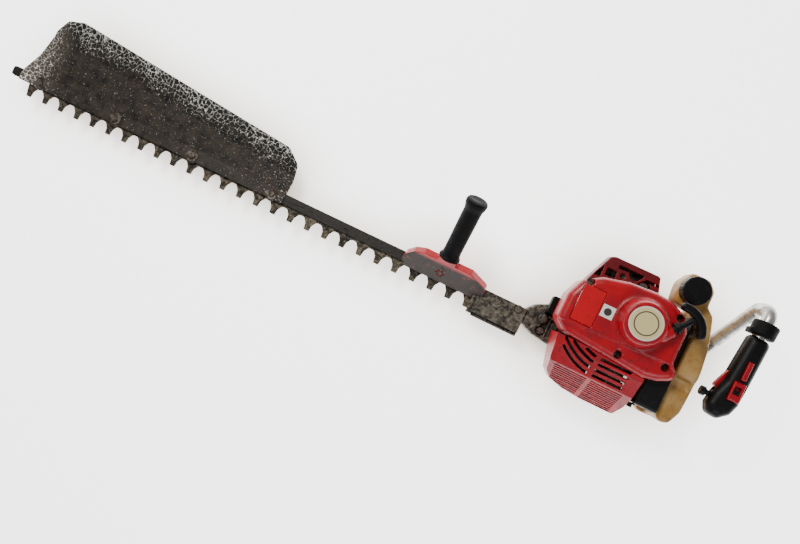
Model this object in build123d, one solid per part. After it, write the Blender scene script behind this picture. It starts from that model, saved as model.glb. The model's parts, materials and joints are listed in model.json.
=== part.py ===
from build123d import *
import math
import os

# Petrol hedge trimmer with a single-sided blade, in millimetres.
# Origin: foot of the crankshaft axis on the floor, under the gear case.
# +X runs from the blade tip to the rear grip, +Y from the teeth to the handles, +Z up.

# Driving dimensions
tooth_pitch = 35.25
tooth_count = 27
first_tooth_x = -257
blade_y = -64
blade_top_y = -57
tooth_root_y = -77
tooth_tip_y = -97
blade_thickness = 2
bar_width = 18
bar_thickness = 4
bar_tip_x = -1221
bar_foot_x = -136
lower_blade_z = 36
upper_blade_z = 38.2
bar_z = 40.4
bar_top_z = bar_z + bar_thickness
stroke = 16
rest_offset = 1.5
gear_module = 1.25
pinion_teeth = 15
gear_teeth = 60
gear_x = -20
gear_y = -42.4
rod_length = 70
case_wall = 5
case_split_z = 12
case_top_z = 50
crank_z = 107
crank_throw = 14
piston_r = 16
piston_rod = 52
bore_end_y = -84
fan_r = 42
cover_floor_z = 86
cover_top_z = 158
dome_top_z = 184
cover_wall = 3
tube_r = 11.1
tube_wall = 2
grip_z = 120
sweeper_thickness = 2


def raised(outline, low, high, taper=0):
    """Upright block on a flat outline."""
    return Pos(0, 0, low) * extrude(outline, high - low, dir=(0, 0, 1), taper=taper)


def prism(points, low, high, corner=0):
    """Upright block on a plan outline, with rounded upright corners."""
    outline = Polygon(*points, align=None)
    if corner:
        outline = fillet(outline.vertices(), corner)
    return raised(outline, low, high)


def cylinder_between(start, end, radius):
    """Round bar from one point to another."""
    axis = Vector(*end) - Vector(*start)
    seat = Plane(origin=start, z_dir=axis)
    return seat * Cylinder(radius, axis.length, align=(Align.CENTER, Align.CENTER, Align.MIN))


def upright(x, y, low, high, radius):
    """Upright round bar."""
    seat = Pos(x, y, low)
    return seat * Cylinder(radius, high - low, align=(Align.CENTER, Align.CENTER, Align.MIN))


def block(x0, x1, y0, y1, z0, z1):
    """Block between two corners."""
    return Pos((x0 + x1) / 2, (y0 + y1) / 2, (z0 + z1) / 2) * Box(x1 - x0, y1 - y0, z1 - z0)


def hex_head(x, y, low, high, across):
    """Hexagon head or nut standing upright."""
    outline = RegularPolygon(across / 2, 6, major_radius=False)
    return Pos(x, y, low) * extrude(outline, high - low)


def coil(x, y, low, high, radius, wire, turns):
    """Upright coil spring."""
    pitch = (high - low - 2 * wire) / turns
    path = Helix(pitch, pitch * turns, radius)
    section = Plane(origin=path @ 0, z_dir=path % 0) * Circle(wire)
    return Pos(x, y, low + wire) * sweep(section, path)


# Cutter

sweeper_bolt_x = (-1155, -990, -824, -658)
guard_bolt_x = (-372, -264)
bar_bolt_x = sweeper_bolt_x + guard_bolt_x
bolt_r = 3


def blade_comb(offset, tail_points):
    """One blade: toothed strip with bolt slots and a tail that takes the rod."""
    last_x = first_tooth_x - (tooth_count - 1) * tooth_pitch
    strip_left = last_x - 8
    strip_right = first_tooth_x + 9
    strip = Polygon(
        (strip_left, tooth_tip_y),
        (strip_right, tooth_tip_y),
        (strip_right, blade_top_y),
        (strip_left, blade_top_y),
        align=None,
    )
    gap = Polygon(
        (-14, tooth_tip_y - 1),
        (14, tooth_tip_y - 1),
        (12.4, tooth_root_y - 9),
        (6.4, tooth_root_y),
        (-6.4, tooth_root_y),
        (-12.4, tooth_root_y - 9),
        align=None,
    )
    gap = fillet(gap.vertices().sort_by(Axis.Y)[2:], 5.5)
    for number in range(tooth_count - 1):
        centre = first_tooth_x - (number + 0.5) * tooth_pitch
        strip = strip - Pos(centre, 0) * gap
    left_cut = Polygon(
        (strip_left - 6, tooth_tip_y - 1),
        (last_x - 3.6, tooth_tip_y - 1),
        (last_x - 7.8, tooth_root_y),
        (strip_left - 6, tooth_root_y),
        align=None,
    )
    right_cut = Polygon(
        (first_tooth_x + 3.6, tooth_tip_y - 1),
        (strip_right + 1, tooth_tip_y - 1),
        (strip_right + 1, tooth_root_y),
        (first_tooth_x + 7.8, tooth_root_y),
        align=None,
    )
    strip = strip - left_cut - right_cut
    neck = Polygon(*tail_points, align=None)
    plan = strip + neck
    for x in bar_bolt_x:
        slot = SlotCenterToCenter(stroke + 2 * rest_offset + 1.4, 2 * bolt_r + 0.8)
        plan = plan - Pos(x, blade_y) * slot
    return Pos(offset, 0, 0) * raised(plan, 0, blade_thickness)


def upper_blade():
    pin_y = gear_y - stroke / 2
    tail = [
        (first_tooth_x, tooth_root_y),
        (-82, tooth_root_y),
        (-82, pin_y + 8),
        (-100, pin_y + 8),
        (-104, blade_top_y),
        (first_tooth_x, blade_top_y),
    ]
    blade = Pos(0, 0, upper_blade_z) * blade_comb(rest_offset, tail)
    pin_x = gear_x - rod_length + rest_offset
    return blade - upright(pin_x, pin_y, upper_blade_z - 1, upper_blade_z + 4, 4.05)


def lower_blade():
    pin_y = gear_y + stroke / 2
    tail = [
        (first_tooth_x, tooth_root_y),
        (-82, tooth_root_y),
        (-82, pin_y + 7),
        (-98, pin_y + 7),
        (-108, blade_top_y),
        (first_tooth_x, blade_top_y),
    ]
    blade = Pos(0, 0, lower_blade_z) * blade_comb(-rest_offset, tail)
    pin_x = gear_x - rod_length - rest_offset
    return blade - upright(pin_x, pin_y, lower_blade_z - 1, lower_blade_z + 4, 4.05)


def guide_bar():
    low = blade_y + 1 - bar_width / 2
    high = low + bar_width
    outline = Polygon(
        (bar_tip_x, low + 2),
        (bar_tip_x + 6, low),
        (bar_foot_x, low),
        (bar_foot_x, high),
        (bar_tip_x + 6, high),
        (bar_tip_x, high - 2),
        align=None,
    )
    outline = fillet(outline.vertices().filter_by_position(Axis.X, bar_tip_x - 1, bar_tip_x + 1), 1.5)
    for x in bar_bolt_x:
        outline = outline - Pos(x, blade_y) * Circle(bolt_r + 0.3)
    return raised(outline, bar_z, bar_top_z)


def stack_bolt(x, seat_z):
    """Bolt through the bar and both blades, with a washer and a nut below."""
    shank = upright(x, blade_y, lower_blade_z - 6, seat_z + 1, bolt_r)
    head = hex_head(x, blade_y, seat_z + 0.05, seat_z + 4, 10)
    washer = upright(x, blade_y, lower_blade_z - 1.7, lower_blade_z - 0.3, 8)
    nut = hex_head(x, blade_y, lower_blade_z - 6.5, lower_blade_z - 1.7, 10)
    return shank + head + washer + nut


def blade_bolts():
    """Bolts under the guard, and the sweeper's bolts with their broad washers."""
    solids = [stack_bolt(x, bar_top_z + 2.4) for x in guard_bolt_x]
    for x in sweeper_bolt_x:
        seat = bar_top_z + 0.3 + sweeper_thickness
        solids.append(stack_bolt(x, seat + 1.6) + upright(x, blade_y, seat + 0.05, seat + 1.7, 11))
    return Compound(children=solids)


def sweeper_plate():
    """Bent sheet: a flat foot on the bar, a nearly flat middle and a raised outer strip."""
    base_z = bar_top_z + 0.3
    thick = sweeper_thickness
    half = 700
    foot = block(-1230, -600, -75, -52, base_z, base_z + thick)
    rise = math.radians(5)
    crease_left = Vector(-1056, 17, 0)
    crease_right = Vector(-709, -13, 0)
    run = (crease_right - crease_left).normalized()
    side = Vector(-run.Y, run.X, 0)
    middle_plane = Plane(origin=(-900, -52, base_z), x_dir=(1, 0, 0), z_dir=(0, -math.sin(rise), math.cos(rise)))
    middle = middle_plane * block(-400, 400, 0, 160, 0, thick)
    crease_mid = (crease_left + crease_right) * 0.5
    mid_z = base_z + (crease_mid.Y + 52) * math.tan(rise)
    slope_along = run.Y * math.tan(rise)
    along = Vector(run.X, run.Y, slope_along).normalized()
    steep = math.radians(17)
    across = Vector(side.X * math.cos(steep), side.Y * math.cos(steep), math.sin(steep))
    normal = along.cross(across).normalized()
    outer_plane = Plane(origin=(crease_mid.X, crease_mid.Y, mid_z), x_dir=along, z_dir=normal)
    outer = outer_plane * block(-half, half, -20, 160, 0, thick)
    crease_face = Plane(origin=(crease_mid.X, crease_mid.Y, 0), x_dir=run, z_dir=(0, 0, 1))
    beyond = crease_face * block(-half, half, 0, 300, -50, 300)
    plate = foot + (middle - beyond) + (outer & beyond)
    outline = Polygon(
        (-1201, -74),
        (-1201, -56),
        (-1179, -16),
        (-1163, 38),
        (-1145, 62),
        (-1112, 71),
        (-660, 24),
        (-634, 2),
        (-631, -30),
        (-635, -73),
        align=None,
    )
    soft = outline.vertices().filter_by_position(Axis.Y, -20, 75)
    outline = fillet(soft, 12)
    lobes = [Pos(x, blade_y - 2) * Circle(12) for x in sweeper_bolt_x]
    for lobe in lobes:
        outline = outline + lobe
    plate = plate & raised(outline, 0, 200)
    for x in sweeper_bolt_x:
        ear = upright(x, blade_y - 2, base_z, base_z + thick, 12)
        plate = plate + ear
    for x in sweeper_bolt_x:
        plate = plate - upright(x, blade_y, base_z - 1, base_z + 5, bolt_r + 0.3)
    return plate


def blade_cover():
    """Bent sheet over the root of the blades, with a folded lip on the tooth side."""
    top = prism([(-243, -99), (-157.5, -99), (-157.5, -54), (-243, -54)], 51.5, 54)
    notch = upright(-172, -60, 46.75, 56, 7.5)
    lip_rise = block(-243, -157.5, -99, -97, 46, 51.5)
    lip = block(-243, -157.5, -106, -97, 44, 46.5)
    fold = block(-243, -157.5, -106, -104.4, 40, 44)
    end = block(-253, -243, -103, -56, 49, 51.5) + block(-253, -251, -103, -80, 41, 49)
    end = end + block(-245.5, -243, -103, -56, 49, 54)
    side = block(-235, -160, -56, -54, bar_top_z + 0.3, 51.5)
    foot = block(-235, -160, -70, -54, bar_top_z + 0.3, bar_top_z + 2.3)
    cover = top + lip_rise + lip + fold + end + side + foot
    cover = cover - notch
    cover = cover - upright(-197, -62, 40, 60, 2.7)
    return cover


def blade_cover_screws():
    """Screw that holds the blade cover, and the broad screw beside it."""
    screw = upright(-197, -62, bar_top_z + 2.4, 54.2, 2.5) + upright(-197, -62, 54.1, 57, 5)
    slot = block(-201, -193, -62.6, -61.4, 56, 58)
    return [screw - slot, upright(-172, -60, 46.9, 56, 6.8)]


# Front handle

guard_lean = 50
guard_origin = (-318, -78, 45)
grip_rise = 30


def guard_plane():
    lean = math.radians(guard_lean)
    normal = (0, -math.sin(lean), math.cos(lean))
    return Plane(origin=guard_origin, x_dir=(1, 0, 0), z_dir=normal)


def front_axis():
    rise = math.radians(grip_rise)
    return Vector(0.045, math.cos(rise), math.sin(rise)).normalized()


def front_point(distance):
    """Point on the front grip's axis, measured from the guard's face."""
    start = Vector(-318, -61.5, 66)
    return start + front_axis() * distance


def guard_outline():
    points = [
        (-64, 0),
        (-75, 14),
        (-71, 30),
        (-58, 45),
        (-40, 53),
        (48, 53),
        (80, 34),
        (82, 14),
        (66, 0),
    ]
    outline = Polygon(*points, align=None)
    return fillet(outline.vertices().sort_by(Axis.Y)[2:], 9)


def front_guard():
    """Dished hand guard: leaning face, backward rim, round hub and a foot on the bar."""
    face = raised(guard_outline(), -3.5, 0)
    rim = raised(guard_outline(), -14, 0) - raised(offset(guard_outline(), -3.5), -15, 1)
    rim = rim - block(-100, 100, -10, 12, -20, 1)
    shell = guard_plane() * (face + rim)
    hub = cylinder_between(front_point(3), front_point(33), 18.5)
    shell = shell + hub
    foot = block(-384, -252, -77.5, -54.5, bar_top_z + 0.3, bar_top_z + 2.3)
    shell = shell + foot
    back_cut = guard_plane() * block(-100, 100, -40, 80, 0, 60)
    shell = shell - back_cut
    shell = shell - block(-420, -220, -120, 80, 20, bar_top_z + 0.29)
    shell = shell - block(-254, -230, -110, -50, 40, 54.4)
    for angle in range(6):
        turn = math.radians(60 * angle)
        spot = Pos(-3 + 6.4 * math.cos(turn), 23 + 6.4 * math.sin(turn), 0)
        shell = shell - guard_plane() * (spot * Cylinder(2.1, 5.6))
    shell = shell - cylinder_between(front_point(9), front_point(60), 4.3)
    for x in guard_bolt_x:
        shell = shell - upright(x, blade_y, 30, bar_top_z + 7, 6.4)
        ear = upright(x, blade_y, bar_top_z + 0.3, bar_top_z + 2.3, 8)
        shell = shell + (ear - upright(x, blade_y, 30, 80, bolt_r + 0.3))
    return shell


def front_grip_rod():
    """Steel core of the front grip, from the guard's hub almost to the grip's closed end."""
    rod = cylinder_between(front_point(9.5), front_point(142), 4)
    return chamfer(rod.edges(), 0.8)


def front_grip():
    """Rubber sleeve with a flange at each end, running grooves and a closed nose."""
    seat = Plane(origin=front_point(33.3), x_dir=(1, 0, 0), z_dir=front_axis())
    section = Polyline(
        (4.3, 0),
        (19, 0),
        (19, 3),
        (16, 7),
        (15.2, 16),
        (15.8, 98),
        (18.6, 108),
        (19, 113),
        (17.5, 116.4),
        (12, 117.6),
        (0, 116.4),
        (0, 109.4),
        (4.3, 109.4),
        close=True,
    )
    face = make_face(Plane.XZ * section)
    sleeve = revolve(face, Axis.Z)
    groove = Pos(0, 0, 57) * Box(1.2, 3, 78)
    for number in range(24):
        sleeve = sleeve - Rot(0, 0, 15 * number) * (Pos(16.2, 0, 0) * groove)
    return seat * sleeve


# Gear case

case_outline = [
    (-157, -79),
    (-134, -89),
    (-94, -95),
    (-44, -95),
    (4, -90),
    (28, -70),
    (34, -36),
    (30, 8),
    (12, 27),
    (-20, 27),
    (-60, 14),
    (-112, -22),
    (-146, -38),
    (-157, -49.5),
]
case_screw_spots = [(-125, -81), (-60, -88), (14, -76), (24, 12), (-36, 15), (-104, -24)]


def case_inner(inset, low, high):
    outline = offset(fillet(Polygon(*case_outline, align=None).vertices(), 6), -inset)
    return raised(outline, low, high)


def gear_case_lower():
    base = prism(case_outline, 0, case_split_z - 0.2, 6)
    base = chamfer(base.faces().sort_by(Axis.Z)[0].edges(), 2)
    base = base - upright(gear_x, gear_y, 2.5, 20, 16)
    base = base - upright(0, 0, 4, 20, 4.05)
    for x, y in case_screw_spots:
        base = base - upright(x, y, 4, 20, 1.9)
    return base


def gear_case_upper():
    """Hollow casting with bosses, ribs, a front slot for the blades and a clutch seat on top."""
    body = prism(case_outline, case_split_z, case_top_z, 6)
    body = fillet(body.faces().sort_by(Axis.Z)[-1].edges(), 3)
    body = body - case_inner(case_wall, case_split_z - 1, case_top_z - case_wall)
    bosses = [upright(x, y, case_split_z, 26, 5) for x, y in case_screw_spots]
    keep = case_inner(0.5, case_split_z, 26)
    for boss in bosses:
        body = body + (boss & keep)
    body = body + upright(0, 0, 39, case_top_z - 4, 20)
    body = body + upright(-128, -57, case_top_z - 1, 57, 8)
    body = body + upright(-148, -57, case_top_z - 1, 55, 5)
    for shift in range(3):
        rib_x = -102 - 14 * shift
        body = body + block(rib_x, rib_x + 3, -84, -48, case_top_z - 1, 54)
    body = body + block(-120, -50, -52, -48, case_top_z - 1, 57)
    window = block(-170, -138, tooth_root_y - 1.2, -52.8, lower_blade_z - 4.2, bar_top_z + 0.3)
    body = body - window
    body = body - upright(-123, -78, case_top_z - 3, 70, 8)
    body = body - upright(0, 0, 30, 60, 11)
    body = body - upright(0, 0, 41.7, 60, 15)
    for x, y in case_screw_spots:
        body = body - upright(x, y, case_split_z - 1, 23, 2.1)
    return body


def gear_case_screws():
    solids = []
    for x, y in case_screw_spots:
        solids.append(upright(x, y, 4.5, 22, 1.8))
    stud = upright(-128, -57, 57.1, 59.5, 5.5) - block(-133, -123, -57.7, -56.3, 58.3, 60)
    solids.append(stud)
    solids.append(hex_head(-123, -78, case_top_z - 2.9, case_top_z + 3, 11))
    return solids


def housing_screws():
    """Screws of the gear case, the blade cover and the engine covers."""
    return Compound(children=gear_case_screws() + blade_cover_screws() + engine_cover_screws())


def bearings():
    """Ball bearings of the gear, the pinion shaft and the crankshaft."""
    gear = upright(gear_x, gear_y, 2.6, 11.5, 15.95) - upright(gear_x, gear_y, 0, 20, 6.05)
    pinion = upright(0, 0, 42, 49.5, 14.95) - upright(0, 0, 30, 60, 6.05)
    lower = upright(0, 0, 85, 92, 13.95) - upright(0, 0, 80, 100, 7.55)
    upper = upright(0, 0, 121.5, 127, 13.95) - upright(0, 0, 110, 130, 7.55)
    return Compound(children=[gear, pinion, lower, upper])


def gear_blank(teeth, width, turn, tooth_share=0.44):
    """Spur gear with plain tapered teeth."""
    pitch_r = gear_module * teeth / 2
    root_r = pitch_r - 1.25 * gear_module
    tip_r = pitch_r + 0.9 * gear_module
    step = 2 * math.pi / teeth
    half_root = pitch_r * step * tooth_share / 2 * 1.35
    half_tip = pitch_r * step * tooth_share / 2 * 0.55
    corners = []
    for number in range(teeth):
        centre = math.radians(turn) + step * number
        for radius, half in ((root_r, -half_root), (tip_r, -half_tip), (tip_r, half_tip), (root_r, half_root)):
            angle = centre + half / radius
            corners.append((radius * math.cos(angle), radius * math.sin(angle)))
    return raised(Polygon(*corners, align=None), 0, width)


def mesh_turn():
    """Angle of the line from the gear's centre to the pinion's centre."""
    return math.degrees(math.atan2(-gear_y, -gear_x))


def reduction_gear():
    """Driven gear with a short shaft below and two crank bosses on its upper face."""
    wheel = Pos(gear_x, gear_y, 15) * gear_blank(gear_teeth, 10, mesh_turn())
    rim = upright(gear_x, gear_y, 22, 26, 31) - upright(gear_x, gear_y, 21, 27, 20)
    wheel = wheel - rim
    shaft = upright(gear_x, gear_y, 3, 15.5, 6)
    collar = upright(gear_x, gear_y, 11.8, 15.5, 9)
    bosses = upright(gear_x, gear_y + stroke / 2, 24.5, 27, 7)
    bosses = bosses + upright(gear_x, gear_y - stroke / 2, 24.5, 27, 7)
    return wheel + shaft + collar + bosses


def clutch_drum():
    """Clutch drum, pinion shaft and pinion in one piece."""
    turn = mesh_turn() + 180 + 180 / pinion_teeth
    pinion = Pos(0, 0, 14) * gear_blank(pinion_teeth, 12, turn)
    shaft = upright(0, 0, 5, 57, 4) + upright(0, 0, 26, 57, 6)
    cup = upright(0, 0, 56, 78, 28) - upright(0, 0, 58.5, 80, 25.5)
    return pinion + shaft + cup


def drive_rod(pin_y, shift, low, high, pin_low, pin_high):
    """Rod with its two pins: the small end sits in the blade, the big end over the gear."""
    big_x = gear_x + shift
    small_x = big_x - rod_length
    rod = upright(big_x, pin_y, low, high, 7.5) + upright(small_x, pin_y, low, high, 6.5)
    rod = rod + block(small_x, big_x, pin_y - 4.5, pin_y + 4.5, low, high)
    rod = rod + upright(big_x, pin_y, 27.3, high, 5)
    rod = rod + upright(small_x, pin_y, pin_low, pin_high, 4)
    return rod


def upper_rod():
    return drive_rod(gear_y - stroke / 2, rest_offset, 40.5, 44.2, upper_blade_z, 44.2)


def lower_rod():
    return drive_rod(gear_y + stroke / 2, -rest_offset, 32, 35.8, 32, lower_blade_z + 2)


def rubber_mounts():
    """Rubber blocks between the gear case and the engine."""
    front = fillet(block(-129, -112, -43, -14, 58, 80).edges().filter_by(Axis.Z), 3)
    bracket = block(-129, -114, -46, -16, case_top_z + 0.3, 58)
    return front + bracket


def clutch_case():
    """Aluminium bell around the clutch, with a flange for the crankcase."""
    bell = upright(0, 0, case_top_z + 0.3, 83.7, 35)
    bell = bell + upright(0, 0, 79, 83.7, 40)
    bell = bell - upright(0, 0, 53, 90, 30.5)
    bell = bell - upright(0, 0, 40, 60, 14)
    for number in range(4):
        angle = math.radians(45 + 90 * number)
        lug = upright(33 * math.cos(angle), 33 * math.sin(angle), case_top_z + 0.3, 62, 6)
        bell = bell + (lug - upright(0, 0, 50, 90, 31))
    tray_points = [(-98, 16), (-93, 32), (-73, 83), (-64, 87), (8, 87), (13, 85), (22, 60), (22, 16)]
    tray = prism(tray_points, 52.4, 55.4, 3) - upright(0, 0, 50, 60, 33)
    return bell + tray


# Engine

def crankcase():
    body = upright(0, 0, 84, 128, 37)
    mouth = block(-30, 30, -44, -20, 86, 126)
    body = body + mouth
    body = body - upright(0, 0, 93, 121, 29.5)
    body = body - upright(0, 0, 80, 140, 9)
    body = body - upright(0, 0, 84.5, 93.5, 14)
    body = body - upright(0, 0, 120.5, 127.5, 14)
    bore = cylinder_between((0, 0, crank_z), (0, -60, crank_z), 19.4)
    return body - bore


def crankshaft():
    """Two journals with full webs: the pin between them belongs to the connecting rod."""
    lower = upright(0, 0, 62, 95, 7.5) + upright(0, 0, 95, 103, 25)
    upper = upright(0, 0, 111, 119, 25) + upright(0, 0, 119, 152, 7.5)
    stub = upright(0, 0, 152, 161, 5)
    return Compound(children=[lower, upper + stub])


def cylinder():
    """Finned cylinder lying along -Y, with the bore, head and side ports."""
    base = block(-24, 24, -48, -44.3, crank_z - 20, crank_z + 20)
    barrel = cylinder_between((0, -44.3, crank_z), (0, -98, crank_z), 21)
    head = block(-24, 24, -113, -97, crank_z - 20, crank_z + 10)
    head = head + block(-28, 28, -108, -106, crank_z - 24, crank_z + 14)
    head = head + block(-28, 28, -114, -112, crank_z - 24, crank_z + 13)
    head = head + block(-28, 28, -102, -100, crank_z - 26, crank_z + 17)
    head = head - cylinder_between((0, -98.3, crank_z), (0, -130, crank_z), 11.5)
    head = head - block(-40, -4, -130, -101, crank_z - 9, crank_z + 30)
    fins = []
    for number in range(8):
        y = -52 - 6 * number
        fin = block(-28, 28, y - 2, y, crank_z - 26, crank_z + 22)
        fins.append(fin)
    body = base + barrel + head
    for fin in fins:
        body = body + fin
    spigot = cylinder_between((0, -40, crank_z), (0, -45, crank_z), 19.2)
    body = body + spigot
    exhaust = block(-33, -18, -88, -70, crank_z - 10, crank_z + 8)
    intake = block(18, 33, -84, -66, crank_z - 10, crank_z + 8)
    body = body + exhaust + intake
    body = body - cylinder_between((0, -30, crank_z), (0, bore_end_y, crank_z), piston_r)
    body = body - cylinder_between((-14, -79, crank_z - 1), (-40, -79, crank_z - 1), 6)
    body = body - cylinder_between((14, -75, crank_z - 1), (40, -75, crank_z - 1), 6)
    body = body - cylinder_between((0, -80, crank_z), (0, -120, crank_z), 5)
    return body


def piston():
    top = -crank_throw - piston_rod - 12
    crown = cylinder_between((0, top, crank_z), (0, top + 24, crank_z), piston_r - 0.05)
    hollow = cylinder_between((0, top + 5, crank_z), (0, top + 30, crank_z), 12.5)
    skirt = crown - hollow
    wrist_y = -crank_throw - piston_rod
    wrist = upright(0, wrist_y, crank_z - 14.5, crank_z + 14.5, 4.05)
    for number in range(2):
        y = top + 3 + 3.5 * number
        ring = cylinder_between((0, y, crank_z), (0, y + 1.2, crank_z), 20)
        ring = ring - cylinder_between((0, y - 1, crank_z), (0, y + 3, crank_z), piston_r - 0.9)
        skirt = skirt - ring
    return skirt - wrist


def connecting_rod():
    """Rod with its crank pin and its wrist pin, held 0.3 mm clear of the webs."""
    pin_y = -crank_throw
    wrist_y = -crank_throw - piston_rod
    big = upright(0, pin_y, 103.3, 110.7, 10)
    shank = block(-4, 4, wrist_y, pin_y, crank_z - 2.5, crank_z + 2.5)
    small = upright(0, wrist_y, 103.3, 110.7, 6.5)
    wrist = upright(0, wrist_y, crank_z - 14, crank_z + 14, 4)
    return big + shank + small + wrist


def flywheel_fan():
    """Cooling fan and flywheel with curved blades and a starter cup."""
    disc = upright(0, 0, 133, 137, fan_r) + upright(0, 0, 133, 150, 16)
    vane_arc = ThreePointArc((17, 0), (28, 5), (fan_r - 1, 3))
    vane = Pos(0, 0, 136) * extrude(SlotArc(vane_arc, 1.8), 14)
    for number in range(14):
        disc = disc + Rot(0, 0, 360 / 14 * number) * vane
    magnet = block(-41, -33, -6, 6, 132.5, 137)
    disc = disc + magnet
    return disc - upright(0, 0, 120, 160, 7.55)


def clutch_shoes():
    """Hub and two centrifugal shoes inside the drum."""
    hub = upright(0, 0, 62, 76, 12) - upright(0, 0, 60, 80, 7.55)
    arm = block(-4, 4, -22, 22, 64, 74) - upright(0, 0, 60, 80, 10)
    shoe = upright(0, 0, 62, 76, 24.6) - upright(0, 0, 60, 80, 15)
    right = shoe & block(1.5, 30, -30, 30, 60, 80)
    left = shoe & block(-30, -1.5, -30, 30, 60, 80)
    gap = block(-4.3, 4.3, -26, 26, 60, 80)
    spring = upright(0, 0, 76.3, 78.3, 22) - upright(0, 0, 70, 80, 19.6)
    return Compound(children=[hub + arm, right - gap, left - gap, spring])


def ignition_coil():
    """Coil beside the flywheel, with its lead and the cap that sits on the spark plug."""
    core = block(-74, -58, -8, 8, 118, 134)
    legs = block(-58, -47, -11, -7, 120, 131) + block(-58, -47, 7, 11, 120, 131)
    bridge = block(-62, -57, -11, 11, 120, 131)
    route = [(-66, -6, 126), (-66, -62, 126), (-33, -66, 131.5), (-33, -106, 119), (-12, -113.5, crank_z)]
    path = Wire(FilletPolyline(*route, radius=7).edges())
    lead = sweep(Plane(origin=path @ 0, z_dir=path % 0) * Circle(2.6), path)
    return Compound(children=[core + legs + bridge + lead + plug_cap()])


def spark_plug():
    body = cylinder_between((0, -84.5, crank_z), (0, -98.5, crank_z), 4.9)
    seat = Plane(origin=(0, -98.3, crank_z), z_dir=(0, -1, 0))
    hexagon = seat * extrude(RegularPolygon(8, 6, major_radius=False), 6)
    ceramic = cylinder_between((0, -104, crank_z), (0, -114, crank_z), 4.5)
    return body + hexagon + ceramic


def plug_cap():
    cap = cylinder_between((0, -106, crank_z), (0, -119, crank_z), 7.5)
    neck = cylinder_between((0, -113.5, crank_z), (-16, -113.5, crank_z), 5)
    cap = cap + neck
    return cap - cylinder_between((0, -100, crank_z), (0, -114.3, crank_z), 4.6)


def muffler():
    box = block(-86, -36, -112, -74, 66, 122)
    box = fillet(box.edges().filter_by(Axis.Y), 8)
    pipe = cylinder_between((-37, -79, crank_z - 1), (-33.2, -79, crank_z - 1), 9)
    outlet = cylinder_between((-70, -110, 92), (-70, -126, 92), 6)
    outlet = outlet - cylinder_between((-70, -106, 92), (-70, -140, 92), 4.5)
    seam = block(-87, -35, -113, -73, 93, 95)
    return box + pipe + outlet + seam


def carburettor():
    """Carburettor with its insulator block against the intake port."""
    body = block(38, 60, -86, -64, crank_z - 15, crank_z + 13)
    body = body + block(33.2, 38, -88, -62, crank_z - 14, crank_z + 12)
    body = body + cylinder_between((49, -75, crank_z + 12), (49, -75, crank_z + 20), 9)
    return body - cylinder_between((30, -75, crank_z - 1), (70, -75, crank_z - 1), 6)


def air_cleaner_base():
    plate = block(60.3, 63.3, -114, -60, 66, 130)
    return plate - cylinder_between((50, -75, crank_z - 1), (70, -75, crank_z - 1), 6)


def air_filter():
    return fillet(block(64, 78, -110, -64, 72, 124).edges().filter_by(Axis.X), 4)


def air_cleaner_cover():
    """Black snap cover with ribs; open towards the cylinder."""
    outer = block(49, 84, -118, -56, 62, 134)
    outer = fillet(outer.edges().filter_by(Axis.X), 6)
    outer = outer - block(40, 81.5, -115.5, -58.5, 64.5, 131.5)
    outer = outer - block(40, 60, -90, -50, 80, 128)
    rib = block(65, 79, -119.2, -117, 70, 126)
    return outer + rib - cylinder_between((56, -125, 98), (56, -110, 98), 1.95)


def choke_lever():
    lever = block(47.5, 55, -127, -118.8, 96, 100)
    arm = block(53, 58.5, -121.5, -119.5, 94, 101)
    return lever + arm + cylinder_between((56, -120, 98), (56, -114, 98), 1.9)


# Covers

starter_outline = [
    (-100, -64),
    (36, -76),
    (60, -71),
    (80, -61),
    (82, -48),
    (71, -36),
    (70, 16),
    (58, 38),
    (30, 51),
    (4, 54),
    (-40, 51),
    (-80, 41),
    (-108, 24),
    (-120, -4),
    (-120, -48),
]


def starter_shell(inset, low, high, round_top):
    outline = fillet(Polygon(*starter_outline, align=None).vertices(), 12)
    outline = offset(outline, -inset) if inset else outline
    body = raised(outline, low, high)
    return fillet(body.faces().sort_by(Axis.Z)[-1].edges(), round_top)


def dome(inset):
    top = dome_top_z - inset
    cone = Pos(0, 0, 140) * Cone(
        44 - inset, 33 - inset, top - 140, align=(Align.CENTER, Align.CENTER, Align.MIN)
    )
    return fillet(cone.edges().sort_by(Axis.Z)[-1], 5)


def rope_boss(radius, low, high):
    pull = Vector(0.616, 0.788, 0)
    start = Vector(45, 11, 168) - pull * low
    end = Vector(45, 11, 168) + pull * high
    return cylinder_between(start, end, radius)


def starter_cover():
    outer = starter_shell(0, cover_floor_z, cover_top_z, 12) + dome(0)
    outer = outer + rope_boss(11, 26, -2)
    inner = starter_shell(cover_wall, cover_floor_z - 1, cover_top_z - cover_wall, 8) + dome(cover_wall)
    shell = outer - inner
    shell = shell + upright(0, 0, 161.6, dome_top_z - 1, 7)
    shell = shell - rope_boss(6, 32, 4)
    for x, y in cover_screw_spots:
        post = upright(x, y, 131, 156, 8) & starter_shell(0.5, 100, cover_top_z - 1, 10)
        shell = shell + post
        shell = shell - upright(x, y, 140, 175, 6.5)
        shell = shell - upright(x, y, 110, 150, 2.4)
    pocket = prism([(-103, -41), (-66, -41), (-66, 20), (-103, 20)], cover_top_z - 8, cover_top_z + 5, 3)
    shell = shell - pocket
    cylinder_way = block(-34, 66, -95, -58, 60, 133)
    intake_way = block(44.5, 95, -90, -45, 60, 136)
    return shell - cylinder_way - intake_way


cover_screw_spots = [(-12, -60), (60, -47), (-96, 26), (50, 32)]


def engine_cover_screws():
    solids = []
    for x, y in cover_screw_spots:
        head = upright(x, y, 140.3, 143.5, 5.5) - block(x - 4, x + 4, y - 0.6, y + 0.6, 142.5, 145)
        solids.append(head + upright(x, y, 132, 140.4, 2.2))
    return solids


def top_panel():
    lid = prism([(-102.4, -40.4), (-66.6, -40.4), (-66.6, 19.4), (-102.4, 19.4)], 154, 158.8, 2.5)
    return fillet(lid.faces().sort_by(Axis.Z)[-1].edges(), 0.8)


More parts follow.
